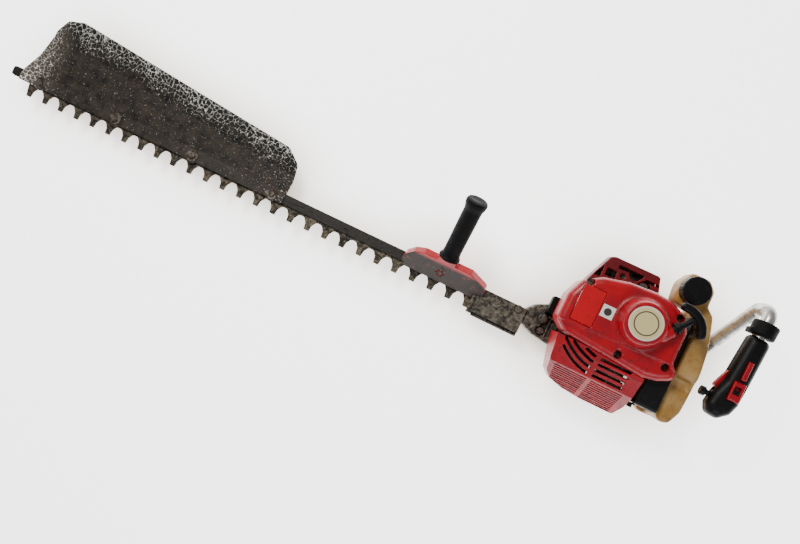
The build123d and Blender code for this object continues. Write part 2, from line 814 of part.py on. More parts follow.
def badges():
    """Round badge on the starter dome and square badge beside it."""
    disc = upright(0, 0, dome_top_z + 0.05, dome_top_z + 0.6, 26.5)
    square = block(-64, -43.5, -17, 3, cover_top_z + 0.05, cover_top_z + 0.5)
    return Compound(children=[disc, square])


def cylinder_profile(inset):
    """Side profile of the cylinder cover: a gentle roof and a steep front."""
    points = [
        (-66 + 10, 56 - 1),
        (-66 + 10, 149 - inset),
        (-84, 146 - inset),
        (-112 + inset * 0.4, 133 - inset),
        (-151 + inset, 84),
        (-151 + inset, 56 - 1),
    ]
    return points


def cylinder_shell(inset):
    points = [
        (-111, -50),
        (-101, -104),
        (-94, -130),
        (-82, -141),
        (-56, -148),
        (-22, -151),
        (36, -151),
        (42, -132),
        (43, -50),
    ]
    outline = fillet(Polygon(*points, align=None).vertices().sort_by(Axis.Y)[:7], 6)
    outline = offset(outline, -inset) if inset else outline
    plan = raised(outline, 40, 170)
    side = make_face(Plane.YZ * Polyline(*cylinder_profile(inset), close=True))
    wedge = Pos(-140, 0, 0) * extrude(side, 220, dir=(1, 0, 0))
    return plan & wedge


def curved_slot(start, middle, end, width):
    arc = ThreePointArc(start, middle, end)
    return Pos(0, 0, 100) * extrude(SlotArc(arc, width), 60)


def cylinder_cover():
    """Cover over the cylinder and muffler with broad louvres above and fine ones in front."""
    shell = cylinder_shell(0) - cylinder_shell(cover_wall)
    shell = shell - block(-200, 200, -68, 0, 50, 200)
    neighbour = fillet(Polygon(*starter_outline, align=None).vertices(), 12)
    shell = shell - raised(offset(neighbour, 0.4), cover_floor_z - 0.4, 200)
    shell = shell - block(36, 50, -92, -60, 84, 131)
    for number in range(4):
        y = -77.5 - 9.6 * number
        slot = Pos(-4, y, 100) * extrude(SlotOverall(52, 4.4), 60)
        shell = shell - slot
    shell = shell - curved_slot((-56, -72), (-49, -74.5), (-40, -77), 4.4)
    shell = shell - curved_slot((-78, -70), (-60, -80), (-40, -86.5), 4.4)
    shell = shell - curved_slot((-92, -70), (-70, -86), (-40, -96.5), 4.4)
    shell = shell - curved_slot((-90, -83), (-67, -98), (-40, -106.5), 4.4)
    for number in range(12):
        z = 127 - 4.2 * number
        shell = shell - block(-88 + 0.7 * number, -33, -160, -104, z, z + 2)
        shell = shell - block(-26, 28, -160, -104, z, z + 2)
    shell = shell - block(-60, 20, -100, -70, 50, 60)
    return shell


def lower_shroud():
    """Dark red slotted skirt at the side of the engine, with its cut-outs."""
    points = [(-104, 12), (-97, 32), (-75, 86), (-66, 90), (10, 90), (15, 88), (24, 60), (24, 12)]
    outline = fillet(Polygon(*points, align=None).vertices().sort_by(Axis.Y)[2:], 4)
    outer = raised(outline, 56, 82, 4)
    outer = fillet(outer.faces().sort_by(Axis.Z)[-1].edges(), 1.5)
    inner = raised(offset(outline, -3), 55, 79, 4)
    tray = outer - inner
    tray = tray - block(-120, 60, 0, 15.5, 50, 90)
    tray = tray - upright(0, 0, 40, 90, 41)
    triangle = Polygon((-77, 68), (-77, 47), (-88, 47), align=None)
    tray = tray - raised(triangle, 70, 90)
    tray = tray - block(-71, -54, 53, 66, 70, 90)
    tray = tray - upright(-43, 63, 70, 90, 4.8)
    tray = tray - block(-55, -12, 72.5, 78, 70, 90)
    bulge = upright(-25, 75, 70, 90, 11) & block(-50, 0, 62, 75, 60, 95)
    tray = tray - bulge
    tray = tray - block(-7, 17, 70, 74, 70, 90)
    half = upright(-5, 60, 70, 90, 10.5) & block(-30, 20, 56, 80, 60, 95)
    tray = tray - half
    post = upright(-5, 60, 56, 66, 6)
    arm = block(-8, -2, 60, 88.5, 56, 60)
    return tray + post + arm


def shroud_spring():
    spring = coil(-5, 60, 66.3, 77, 6, 1.1, 4)
    screw = upright(-5, 60, 66.3, 79, 3.2)
    washer = upright(-5, 60, 77.3, 79, 7.5)
    return Compound(children=[spring, screw + washer])


def tank_bulkhead():
    """Black plate between the engine and the tank."""
    plate = block(73.5, 77, -32, 44, 62, 138)
    foot = block(40, 77, -30, 30, 58, 62)
    plate = plate + foot
    return fillet(plate.edges().filter_by(Axis.X).sort_by(Axis.Z)[-2:], 1)


# Starter

def starter_pulley():
    """Rope pulley with two flanges, running on the cover's post."""
    wheel = upright(0, 0, 164, 165.6, 31.5) + upright(0, 0, 170.4, 172, 31.5)
    wheel = wheel + upright(0, 0, 164, 172, 24)
    return wheel - upright(0, 0, 160, 175, 7.05)


def starter_rope_coil():
    ring = upright(0, 0, 165.9, 170.1, 30) - upright(0, 0, 160, 175, 24.3)
    return ring


def recoil_spring():
    """Flat spiral spring above the pulley."""
    path = Spline(*[
        (
            (11 + 0.5 * step) * math.cos(step * 0.785),
            (11 + 0.5 * step) * math.sin(step * 0.785),
            0,
        )
        for step in range(33)
    ])
    section = Plane(origin=path @ 0, x_dir=(0, 0, 1), z_dir=path % 0) * Rectangle(4.4, 0.7)
    return Pos(0, 0, 175.4) * sweep(section, path)


def rope_guide():
    """Collar where the starter rope leaves the cover."""
    pull = Vector(0.616, 0.788, 0)
    spot = Vector(45, 11, 168)
    outer = cylinder_between(spot - pull * 9, spot + pull * 3.5, 5.9)
    lip = cylinder_between(spot + pull * 2.3, spot + pull * 5.5, 9.6)
    body = outer + lip
    return body - cylinder_between(spot - pull * 20, spot + pull * 20, 2.6)


def starter_handle():
    """Curved T-shaped pull handle with its stem."""
    seat = Plane(origin=(45, 11, 168), x_dir=(0.788, -0.616, 0), z_dir=(0, 0, 1))
    bar_arc = ThreePointArc((-24, 30), (0, 39), (24, 30))
    bar = extrude(SlotArc(bar_arc, 13), 15)
    bar = Pos(0, 0, -4) * bar
    bar = fillet(bar.edges().group_by(Axis.Z)[-1], 4)
    bar = fillet(bar.edges().group_by(Axis.Z)[0], 4)
    stem = Pos(0, 22, 0) * Rot(90, 0, 0) * Cylinder(5, 26)
    collar = Pos(0, 8.2, 0) * Rot(90, 0, 0) * Cylinder(8, 5)
    handle = seat * (bar + stem + collar)
    knot_room = cylinder_between((45, 11, 168), tuple(Vector(45, 11, 168) + Vector(0.616, 0.788, 0) * 20), 2.6)
    return handle - knot_room


# Fuel

def tank_solid(inset):
    """Tank body: tall rear part, low foot under the air cleaner, and the shoulder with the neck."""
    rear_points = [
        (86, -118),
        (96, -128),
        (112, -124),
        (122, -100),
        (124, -30),
        (116, 22),
        (104, 60),
        (84, 76),
        (84, 40),
    ]
    low_points = [(67, -112), (76, -128), (96, -128), (110, -100), (110, 40), (90, 60), (78, 60)]
    neck_points = [(38, 56), (92, 52), (92, 96), (78, 112), (48, 112), (36, 92)]
    rear = fillet(Polygon(*rear_points, align=None).vertices(), 6)
    low = fillet(Polygon(*low_points, align=None).vertices(), 5)
    neck = fillet(Polygon(*neck_points, align=None).vertices(), 8)
    if inset:
        rear = offset(rear, -inset)
        low = offset(low, -inset)
        neck = offset(neck, -inset)
    body = raised(rear, 30 + inset, 122 - inset)
    body = body + raised(low, 30 + inset, 56 - inset)
    body = body + raised(neck, 74 + inset, 118 - inset)
    return body


def fuel_tank():
    outer = tank_solid(0)
    step = prism([(88, -48), (124, -48), (117, 15), (88, 15)], 118, 127, 5)
    outer = outer + step
    outer = outer + upright(57, 83, 110, 127, 17)
    outer = outer - block(80, 95, 17, 34, 70, 140)
    outer = outer - block(86, 118, -68, -50, 116, 140)
    inner = tank_solid(3)
    inner = inner - block(77, 98, 14, 37, 67, 143)
    inner = inner - block(83, 121, -71, -47, 113, 143)
    tank = outer - inner
    tank = tank - upright(57, 83, 100, 140, 14)
    return tank


def cap_seal():
    return upright(57, 83, 127.3, 129.3, 16.8) - upright(57, 83, 120, 135, 13.2)


def fuel_cap():
    """Knurled cap with a threaded skirt round the neck."""
    cap = upright(57, 83, 129.6, 148, 22.6)
    cap = fillet(cap.edges().sort_by(Axis.Z)[-1], 2.5)
    scallop = Pos(25.2, 0, 138) * Cylinder(3.2, 24)
    for number in range(14):
        cap = cap - Pos(57, 83, 0) * (Rot(0, 0, 360 / 14 * number) * scallop)
    skirt = upright(57, 83, 118.4, 130, 20.5) - upright(57, 83, 117, 129.6, 17.5)
    return cap + skirt


def tank_bracket():
    """Angle bracket from the gear case to the underside of the tank, with rubber-like pads."""
    plate = block(35, 112, -30, -8, 24.5, 27.5)
    flange = block(35, 38, -30, -8, 24.5, 46)
    pads = block(72, 82, -28, -10, 27.5, 29.7) + block(100, 110, -28, -10, 27.5, 29.7)
    bolt = cylinder_between((34.2, -19, 38), (41, -19, 38), 4.5)
    return plate + flange + pads + bolt


def tube_clamp():
    """Cast block on the gear case that grips the end of the handle tube."""
    body = block(34.6, 66, -52, -20, 0.5, 24.2)
    body = fillet(body.edges().filter_by(Axis.X), 3)
    body = body - cylinder_between((44, -36, 11.5), (80, -36, 11.5), tube_r + 0.05)
    slit = block(44, 80, -37, -35, 20, 30)
    return body - slit


# Rear handle

tube_points = [
    (48, -36, 11.5),
    (118, -36, 11.5),
    (150, 33, 24),
    (170, 106, 92),
    (181.6, 106, 120),
    (177.18, 30, 120),
]


def tube_path():
    return Wire(FilletPolyline(*tube_points, radius=16).edges())


def handle_tube():
    """Bent aluminium tube from under the engine to the rear grip."""
    path = tube_path()
    start = Plane(origin=path @ 0, z_dir=path % 0)
    outer = sweep(start * Circle(tube_r), path)
    inner = sweep(start * Circle(tube_r - tube_wall), path)
    return outer - inner


grip_outline = [
    (163, 62),
    (156, -22),
    (148, -46),
    (145, -66),
    (152, -82),
    (170, -84),
    (186, -70),
    (192, -52),
    (194, -24),
    (197, 58),
]


grip_corner = 9
grip_round = 13


def grip_solid(inset):
    outline = fillet(Polygon(*grip_outline, align=None).vertices(), grip_corner)
    outline = offset(outline, -inset) if inset else outline
    body = raised(outline, grip_z - 18 + inset, grip_z + 18 - inset)
    if inset:
        return body
    body = fillet(body.edges().group_by(Axis.Z)[-1], grip_round)
    return fillet(body.edges().group_by(Axis.Z)[0], grip_round)


def grip_cuts():
    """Openings shared by both halves of the rear grip."""
    tube = cylinder_between((183, 130, grip_z), (176.89, 25, grip_z), tube_r + 0.05)
    trigger = block(140, 170, -45, -4, grip_z - 6, grip_z + 6)
    lockout = block(174, 183.6, -13.8, 19, grip_z + 5.5, grip_z + 30)
    knob = cylinder_between((168, -51.7, grip_z), (130, -52.46, grip_z), 4.6)
    pins = upright(162.5, -9.5, grip_z - 13.3, grip_z + 13.3, 2.05)
    pins = pins + cylinder_between((171.7, 16, grip_z + 13), (186.3, 16, grip_z + 13), 1.55)
    return tube + trigger + lockout + knob + pins


def grip_half(low, high):
    half = grip_solid(0) & block(100, 230, -120, 100, low, high)
    room = grip_solid(5) & block(100, 230, -80, 8, grip_z - 10, grip_z + 10)
    switch_seat = block(167, 200, -49.6, -16.8, grip_z + 8, grip_z + 30)
    return half - room - grip_cuts() - switch_seat


def grip_upper():
    return grip_half(grip_z + 0.15, grip_z + 30)


def grip_lower():
    return grip_half(grip_z - 30, grip_z - 0.15)


def grip_collar():
    """Rubber collar at the tube end of the grip, with a thumb lug."""
    axis_start = (181.6, 86, grip_z)
    axis_end = (180.3, 62.5, grip_z)
    ring = cylinder_between(axis_start, axis_end, 20.5)
    ring = fillet(ring.edges().filter_by(GeomType.CIRCLE), 3)
    lug = fillet(block(158, 170, 48, 72, grip_z - 12, grip_z + 10).edges(), 3)
    collar = ring + (lug - block(150, 200, 40, 62.4, 90, 150))
    collar = collar - cylinder_between((180.4, 85.5, grip_z), (176.6, 20, grip_z), tube_r + 0.05)
    path = tube_path()
    start = Plane(origin=path @ 0, z_dir=path % 0)
    return collar - sweep(start * Circle(tube_r + 0.05), path)


def throttle_trigger():
    blade_points = [(158, -5.5), (166, -5.5), (166, -40), (157, -43.5), (146, -36), (151, -22)]
    plan = Polygon(*blade_points, align=None)
    plan = fillet(plan.vertices(), 1.5)
    lever = raised(plan, grip_z - 5, grip_z + 5)
    return lever + upright(162.5, -9.5, grip_z - 13, grip_z + 13, 2)


def lockout_lever():
    """Bar on the grip's back that has to be pressed before the trigger moves."""
    bar = block(174.4, 183.2, -13.2, 18.4, grip_z + 10.8, grip_z + 20.6)
    bar = fillet(bar.edges().group_by(Axis.Z)[-1], 2.4)
    return bar + cylinder_between((172, 16, grip_z + 13), (186, 16, grip_z + 13), 1.5)


def switch_housing():
    base = block(167.4, 187, -49.2, -17.2, grip_z + 8.3, grip_z + 21)
    base = fillet(base.edges().group_by(Axis.Z)[-1], 3)
    recess = block(171, 181.6, -38, -24.6, grip_z + 15, grip_z + 30)
    return base - recess


def stop_switch():
    rocker = block(171.5, 181.1, -37.5, -30.8, grip_z + 15.3, grip_z + 22)
    return fillet(rocker.edges().group_by(Axis.Z)[-1], 1)


def set_knob():
    axis = Vector(-1, -0.02, 0).normalized()
    start = Vector(158, -51.9, grip_z)
    shaft = cylinder_between(start, start + axis * 19, 4.4)
    head = cylinder_between(start + axis * 17.4, start + axis * 26, 7.5)
    head = fillet(head.edges().filter_by(GeomType.CIRCLE), 1.2)
    return shaft + head


PARTS = {
    "guide_bar": guide_bar,
    "upper_blade": upper_blade,
    "lower_blade": lower_blade,
    "sweeper_plate": sweeper_plate,
    "blade_bolts": blade_bolts,
    "blade_cover": blade_cover,
    "front_guard": front_guard,
    "front_grip_rod": front_grip_rod,
    "front_grip": front_grip,
    "gear_case_lower": gear_case_lower,
    "gear_case_upper": gear_case_upper,
    "housing_screws": housing_screws,
    "bearings": bearings,
    "reduction_gear": reduction_gear,
    "clutch_drum": clutch_drum,
    "upper_rod": upper_rod,
    "lower_rod": lower_rod,
    "rubber_mounts": rubber_mounts,
    "clutch_case": clutch_case,
    "crankcase": crankcase,
    "crankshaft": crankshaft,
    "cylinder": cylinder,
    "piston": piston,
    "connecting_rod": connecting_rod,
    "flywheel_fan": flywheel_fan,
    "clutch_shoes": clutch_shoes,
    "ignition_coil": ignition_coil,
    "spark_plug": spark_plug,
    "muffler": muffler,
    "carburettor": carburettor,
    "air_cleaner_base": air_cleaner_base,
    "air_filter": air_filter,
    "air_cleaner_cover": air_cleaner_cover,
    "choke_lever": choke_lever,
    "starter_cover": starter_cover,
    "top_panel": top_panel,
    "badges": badges,
    "cylinder_cover": cylinder_cover,
    "lower_shroud": lower_shroud,
    "shroud_spring": shroud_spring,
    "tank_bulkhead": tank_bulkhead,
    "starter_pulley": starter_pulley,
    "starter_rope_coil": starter_rope_coil,
    "recoil_spring": recoil_spring,
    "rope_guide": rope_guide,
    "starter_handle": starter_handle,
    "fuel_tank": fuel_tank,
    "cap_seal": cap_seal,
    "fuel_cap": fuel_cap,
    "tank_bracket": tank_bracket,
    "handle_tube": handle_tube,
    "tube_clamp": tube_clamp,
    "grip_upper": grip_upper,
    "grip_lower": grip_lower,
    "grip_collar": grip_collar,
    "throttle_trigger": throttle_trigger,
    "lockout_lever": lockout_lever,
    "switch_housing": switch_housing,
    "stop_switch": stop_switch,
    "set_knob": set_knob,
}

os.makedirs("parts", exist_ok=True)
for name, make in PARTS.items():
    export_step(make(), "parts/" + name + ".step")
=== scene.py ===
import json
import math

import bmesh
import bpy
import numpy as np
from mathutils import Matrix, Vector


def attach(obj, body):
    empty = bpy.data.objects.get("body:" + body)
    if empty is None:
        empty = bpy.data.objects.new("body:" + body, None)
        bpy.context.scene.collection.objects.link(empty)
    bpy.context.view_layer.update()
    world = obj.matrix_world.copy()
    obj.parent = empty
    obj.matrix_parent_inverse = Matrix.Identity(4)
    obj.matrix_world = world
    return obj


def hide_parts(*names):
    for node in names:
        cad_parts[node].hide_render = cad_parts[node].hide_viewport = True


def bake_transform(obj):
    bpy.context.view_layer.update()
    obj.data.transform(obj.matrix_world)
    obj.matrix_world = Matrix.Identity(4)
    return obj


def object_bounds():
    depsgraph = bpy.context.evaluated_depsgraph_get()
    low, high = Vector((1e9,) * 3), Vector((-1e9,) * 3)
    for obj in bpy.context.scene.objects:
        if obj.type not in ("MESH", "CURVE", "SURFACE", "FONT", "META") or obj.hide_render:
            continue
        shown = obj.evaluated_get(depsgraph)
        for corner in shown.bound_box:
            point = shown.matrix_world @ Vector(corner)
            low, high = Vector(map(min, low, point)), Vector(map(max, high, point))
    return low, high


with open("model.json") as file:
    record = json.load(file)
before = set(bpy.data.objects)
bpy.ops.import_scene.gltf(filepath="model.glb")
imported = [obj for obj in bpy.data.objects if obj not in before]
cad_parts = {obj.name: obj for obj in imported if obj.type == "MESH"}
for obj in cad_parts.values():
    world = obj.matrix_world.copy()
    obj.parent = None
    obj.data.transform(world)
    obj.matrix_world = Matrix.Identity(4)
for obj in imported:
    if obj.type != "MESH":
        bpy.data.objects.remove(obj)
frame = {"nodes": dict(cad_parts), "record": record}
cad_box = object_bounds()
nodes = frame["nodes"]
scene = bpy.context.scene
MM = 0.001

# Places and sizes of the machine, in millimetres
GUARD_LEAN = math.radians(50)  # how far the guard's face leans over the bar
GUARD_PLANE = 88.7  # distance of that face's plane from the origin
DOME_FOOT = (31, 37, 50, 60)  # radii where the dome's foot fades in and out
DOME_FOOT_HEIGHT = (146, 156)
CREASE_Y = -46  # the housing's crease, at its left end
CREASE_X = 117
CREASE_SLOPE = 0.04
CREASE_STEP = 1.5
NECK_X = 57
NECK_Y = 83
ROPE_EXIT = Vector((45, 11, 168))
ROPE_PULL = Vector((0.61587, 0.78785, 0))
ROPE_RADIUS = 1.6


# Camera: hung above the engine, looking down on the machine as it lies on the floor

lens_data = bpy.data.cameras.new("camera")
camera = bpy.data.objects.new("camera", lens_data)
scene.collection.objects.link(camera)
lens_data.lens = 31.05
lens_data.sensor_width = 36
lens_data.clip_start = 0.01
lens_data.clip_end = 50
right_hand = Vector((0.8956, 0.4338, -0.0984))
upward = Vector((-0.4314, 0.9010, 0.0453))
backward = Vector((0.1083, 0.0019, 0.9941))
turn = Matrix((right_hand, upward, backward)).transposed().to_4x4()
camera.matrix_world = Matrix.Translation(Vector((-253.7, -89.0, 1258.7)) * MM) @ turn
scene.camera = camera


# Shader helpers


def linear(colour):
    """Linear colour from an sRGB hex value."""
    steps = [int(colour[place : place + 2], 16) / 255 for place in (1, 3, 5)]
    return [s / 12.92 if s <= 0.04045 else ((s + 0.055) / 1.055) ** 2.4 for s in steps] + [1.0]


def add(tree, kind, inputs=None, **settings):
    """Adds a shader node with its settings, and sets or links its inputs."""
    made = tree.nodes.new(kind)
    for name, value in settings.items():
        setattr(made, name, value)
    for socket, value in (inputs or {}).items():
        if isinstance(value, bpy.types.NodeSocket):
            tree.links.new(value, made.inputs[socket])
        else:
            made.inputs[socket].default_value = value
    return made


def begin(name):
    """New material: its tree, and the object's own coordinates in millimetres."""
    material = bpy.data.materials.new(name)
    material.use_nodes = True
    tree = material.node_tree
    tree.nodes.clear()
    place = add(tree, "ShaderNodeTexCoord").outputs["Object"]
    mm = add(tree, "ShaderNodeVectorMath", {0: place, 1: (1000, 1000, 1000)}, operation="MULTIPLY")
    return material, tree, mm.outputs[0]


def finish_surface(tree, colour, roughness, height, relief_mm, metallic=0.0, glare=0.5):
    """Closes a material: principled shader with its bump, and the output."""
    inputs = {"Base Color": colour, "Roughness": roughness, "Metallic": metallic}
    inputs["Specular IOR Level"] = glare
    if height is not None:
        bump = add(tree, "ShaderNodeBump", {"Height": height, "Distance": relief_mm * MM})
        inputs["Normal"] = bump.outputs[0]
    shader = add(tree, "ShaderNodeBsdfPrincipled", inputs)
    add(tree, "ShaderNodeOutputMaterial", {"Surface": shader.outputs[0]})


def moulded_plastic(
    name, fresh, faded, grime_and_shade_colour, gloss, grime_share, grain_mm=0.9, hollow_mm=7, glare=0.4
):
    """Injection-moulded nylon or ABS: fine spark-eroded grain, faded patches and patchy oily dust, with
    painted shade that darkens hollows and corners; both take the shine away."""
    material, tree, mm = begin(name)
    patches = add(tree, "ShaderNodeTexNoise", {"Vector": mm, "Scale": 1 / 38, "Detail": 5})
    fade = add(
        tree,
        "ShaderNodeMapRange",
        {0: patches.outputs[0], 1: 0.38, 2: 0.68},
    )
    plain = add(
        tree,
        "ShaderNodeMix",
        {0: fade.outputs[0], 6: linear(fresh), 7: linear(faded)},
        data_type="RGBA",
    )
    # painted shade: ambient occlusion darkens and dulls the hollows and corners, mixed with the patchy
    # grime
    hollow = add(
        tree,
        "ShaderNodeAmbientOcclusion",
        {"Distance": hollow_mm * MM},
        samples=6,
        only_local=True,
    )
    occlusion_shade = add(tree, "ShaderNodeMapRange", {0: hollow.outputs["AO"], 1: 0.95, 2: 0.35})
    smudge = add(
        tree,
        "ShaderNodeTexNoise",
        {"Vector": mm, "Scale": 1 / 11, "Detail": 8, "Roughness": 0.68, "Distortion": 0.6},
    )
    smear = add(
        tree,
        "ShaderNodeMapRange",
        {0: smudge.outputs[0], 1: 0.52, 2: 0.76, 3: 0.0, 4: grime_share},
    )
    reach = add(
        tree,
        "ShaderNodeMath",
        {0: occlusion_shade.outputs[0], 1: smudge.outputs[0]},
        operation="MULTIPLY",
    )
    grime_and_shade = add(
        tree,
        "ShaderNodeMath",
        {0: reach.outputs[0], 1: 1.5, 2: smear.outputs[0]},
        operation="MULTIPLY_ADD",
        use_clamp=True,
    )
    colour = add(
        tree,
        "ShaderNodeMix",
        {0: grime_and_shade.outputs[0], 6: plain.outputs[2], 7: linear(grime_and_shade_colour)},
        data_type="RGBA",
    )
    dull = add(
        tree,
        "ShaderNodeMapRange",
        {0: grime_and_shade.outputs[0], 1: 0.0, 2: 1.0, 3: gloss, 4: min(gloss + 0.35, 0.9)},
    )
    grain = add(tree, "ShaderNodeTexNoise", {"Vector": mm, "Scale": 1 / grain_mm, "Detail": 3})
    wave = add(
        tree,
        "ShaderNodeMath",
        {0: smudge.outputs[0], 1: 1.6, 2: grain.outputs[0]},
        operation="MULTIPLY_ADD",
    )
    finish_surface(tree, colour.outputs[2], dull.outputs[0], wave.outputs[0], 0.16, 0.0, glare)
    return material


def cast_metal(name, bright, dull, grime_and_shade_colour, grime_level, roughness, metallic, pit_mm=1.6):
    """Die-cast alloy: granular skin under baked-on grass sap and oil, rubbed bright in spots, and painted
    shade that darkens its hollows.
    """
    material, tree, mm = begin(name)
    blotch = add(
        tree,
        "ShaderNodeTexNoise",
        {"Vector": mm, "Scale": 1 / 6.5, "Detail": 9, "Roughness": 0.72},
    )
    tone = add(tree, "ShaderNodeMapRange", {0: blotch.outputs[0], 1: 0.36, 2: 0.66})
    base = add(
        tree,
        "ShaderNodeMix",
        {0: tone.outputs[0], 6: linear(dull), 7: linear(bright)},
        data_type="RGBA",
    )
    crust = add(
        tree,
        "ShaderNodeTexNoise",
        {"Vector": mm, "Scale": 1 / 15, "Detail": 10, "Roughness": 0.74, "Distortion": 1.1},
    )
    # painted shade: ambient occlusion within 6 mm darkens the hollows, added to the crust of grime
    hollow = add(
        tree,
        "ShaderNodeAmbientOcclusion",
        {"Distance": 6 * MM},
        samples=6,
        only_local=True,
    )
    occlusion_shade = add(
        tree,
        "ShaderNodeMapRange",
        {0: hollow.outputs["AO"], 1: 1.0, 2: 0.4, 3: 0.0, 4: 0.35},
    )
    crust_and_shade = add(
        tree,
        "ShaderNodeMath",
        {0: crust.outputs[0], 1: occlusion_shade.outputs[0]},
        operation="ADD",
    )
    cover = add(
        tree,
        "ShaderNodeMapRange",
        {0: crust_and_shade.outputs[0], 1: grime_level, 2: grime_level + 0.12},
    )
    colour = add(
        tree,
        "ShaderNodeMix",
        {0: cover.outputs[0], 6: base.outputs[2], 7: linear(grime_and_shade_colour)},
        data_type="RGBA",
    )
    matt = add(
        tree,
        "ShaderNodeMapRange",
        {0: cover.outputs[0], 1: 0.0, 2: 1.0, 3: roughness, 4: 0.82},
    )
    shine = add(
        tree,
        "ShaderNodeMapRange",
        {0: cover.outputs[0], 1: 0.0, 2: 1.0, 3: metallic, 4: 0.1},
    )
    pits = add(tree, "ShaderNodeTexNoise", {"Vector": mm, "Scale": 1 / pit_mm, "Detail": 4})
    skin = add(
        tree,
        "ShaderNodeMath",
        {0: cover.outputs[0], 1: 0.7, 2: pits.outputs[0]},
        operation="MULTIPLY_ADD",
    )
    finish_surface(
        tree, colour.outputs[2], matt.outputs[0], skin.outputs[0], 0.35, shine.outputs[0]
    )
    return material


def machined_steel(name, bright, dull, rust, run, roughness, rust_level=0.62):
    """Ground or turned steel: fine tool lines along one axis, with brown staining."""
    material, tree, mm = begin(name)
    lines = add(tree, "ShaderNodeMapping", {"Vector": mm, "Scale": run})
    cut = add(tree, "ShaderNodeTexNoise", {"Vector": lines.outputs[0], "Scale": 1.2, "Detail": 3})
    stain = add(
        tree,
        "ShaderNodeTexNoise",
        {"Vector": mm, "Scale": 1 / 9, "Detail": 8, "Roughness": 0.7},
    )
    tone = add(tree, "ShaderNodeMapRange", {0: cut.outputs[0], 1: 0.3, 2: 0.7})
    base = add(
        tree,
        "ShaderNodeMix",
        {0: tone.outputs[0], 6: linear(dull), 7: linear(bright)},
        data_type="RGBA",
    )
    spread = add(
        tree,
        "ShaderNodeMapRange",
        {0: stain.outputs[0], 1: rust_level - 0.08, 2: rust_level + 0.06},
    )
    colour = add(
        tree,
        "ShaderNodeMix",
        {0: spread.outputs[0], 6: base.outputs[2], 7: linear(rust)},
        data_type="RGBA",
    )
    matt = add(
        tree,
        "ShaderNodeMapRange",
        {0: spread.outputs[0], 1: 0.0, 2: 1.0, 3: roughness, 4: 0.8},
    )
    shine = add(tree, "ShaderNodeMapRange", {0: spread.outputs[0], 1: 0, 2: 1, 3: 1.0, 4: 0.15})
    finish_surface(tree, colour.outputs[2], matt.outputs[0], cut.outputs[0], 0.05, shine.outputs[0])
    return material


